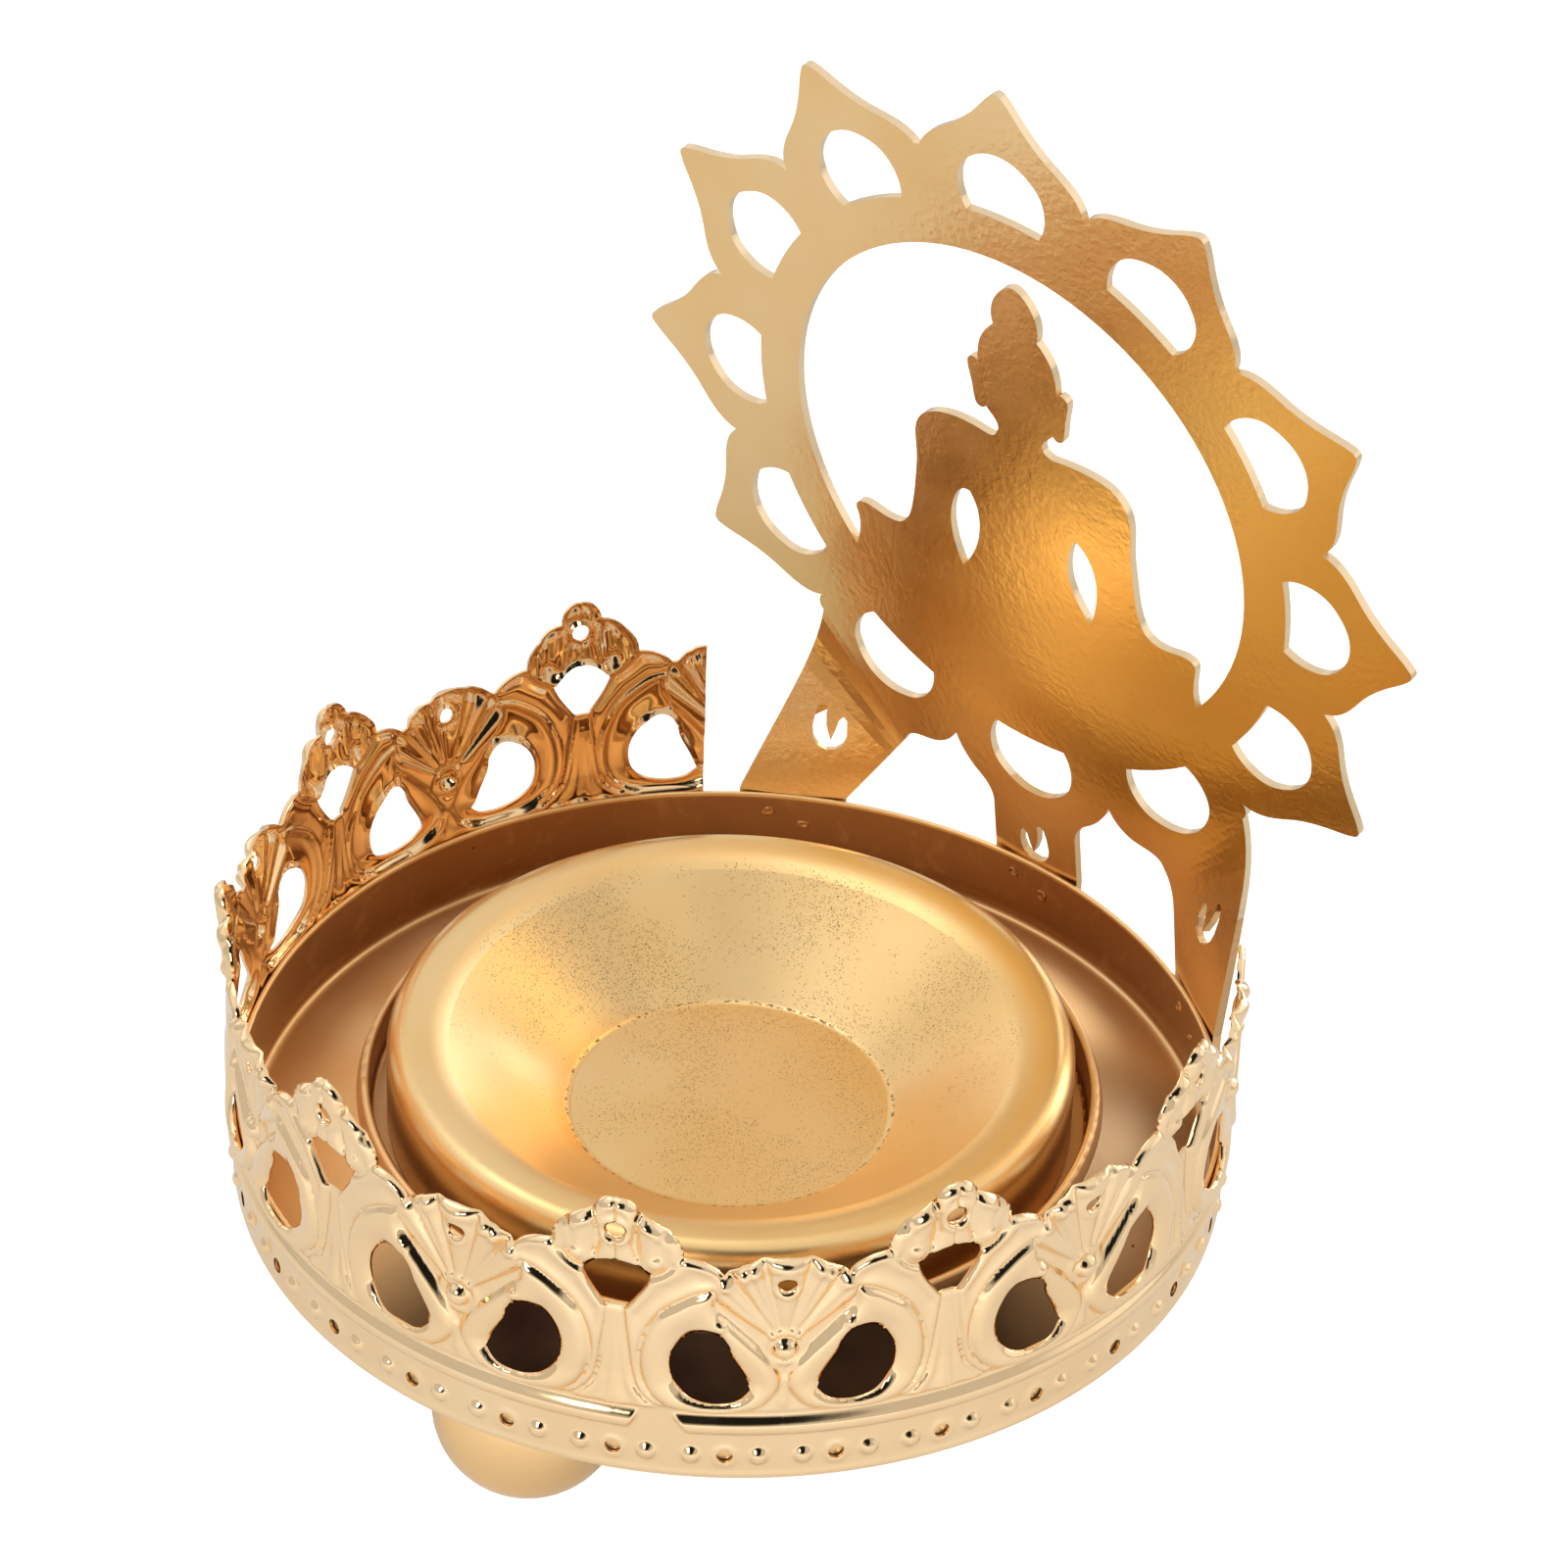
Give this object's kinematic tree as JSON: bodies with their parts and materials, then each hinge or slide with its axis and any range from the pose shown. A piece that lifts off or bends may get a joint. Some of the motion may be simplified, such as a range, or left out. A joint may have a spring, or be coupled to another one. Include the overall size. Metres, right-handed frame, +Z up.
{
  "type": "votive candle holder",
  "caption": "Round metal votive candle holder on ball feet, with a pierced gallery band, a lift-out candle dish and a lotus back panel round a seated figure.",
  "frame": {"origin": "centre of the candle dish's flat seat", "axes": "+Z up, +Y towards the lotus back panel, so the open front faces -Y"},
  "size_m": [0.1023, 0.1021, 0.1229],
  "materials": {
    "pan_gold": "satin gold lacquer over pressed sheet",
    "dish_gold": "fine satin gold lacquer with small specks",
    "band_gold": "bright polished pale gold, stamped relief",
    "panel_gold": "satin gold with a fine orange-peel texture",
    "foot_gold": "satin gold"
  },
  "bodies": {
    "holder": {"tray_pan": "pan_gold", "gallery_band": "band_gold", "lotus_backplate": "panel_gold", "foot_front": "foot_gold", "foot_right_rear": "foot_gold", "foot_left_rear": "foot_gold"},
    "dish": {"candle_dish": "dish_gold"}
  },
  "joints": [
    {"name": "dish_lift", "type": "slide", "parent": "holder", "child": "dish", "axis": [0, 0, 1], "range_m": [0, 0.05]}
  ]
}
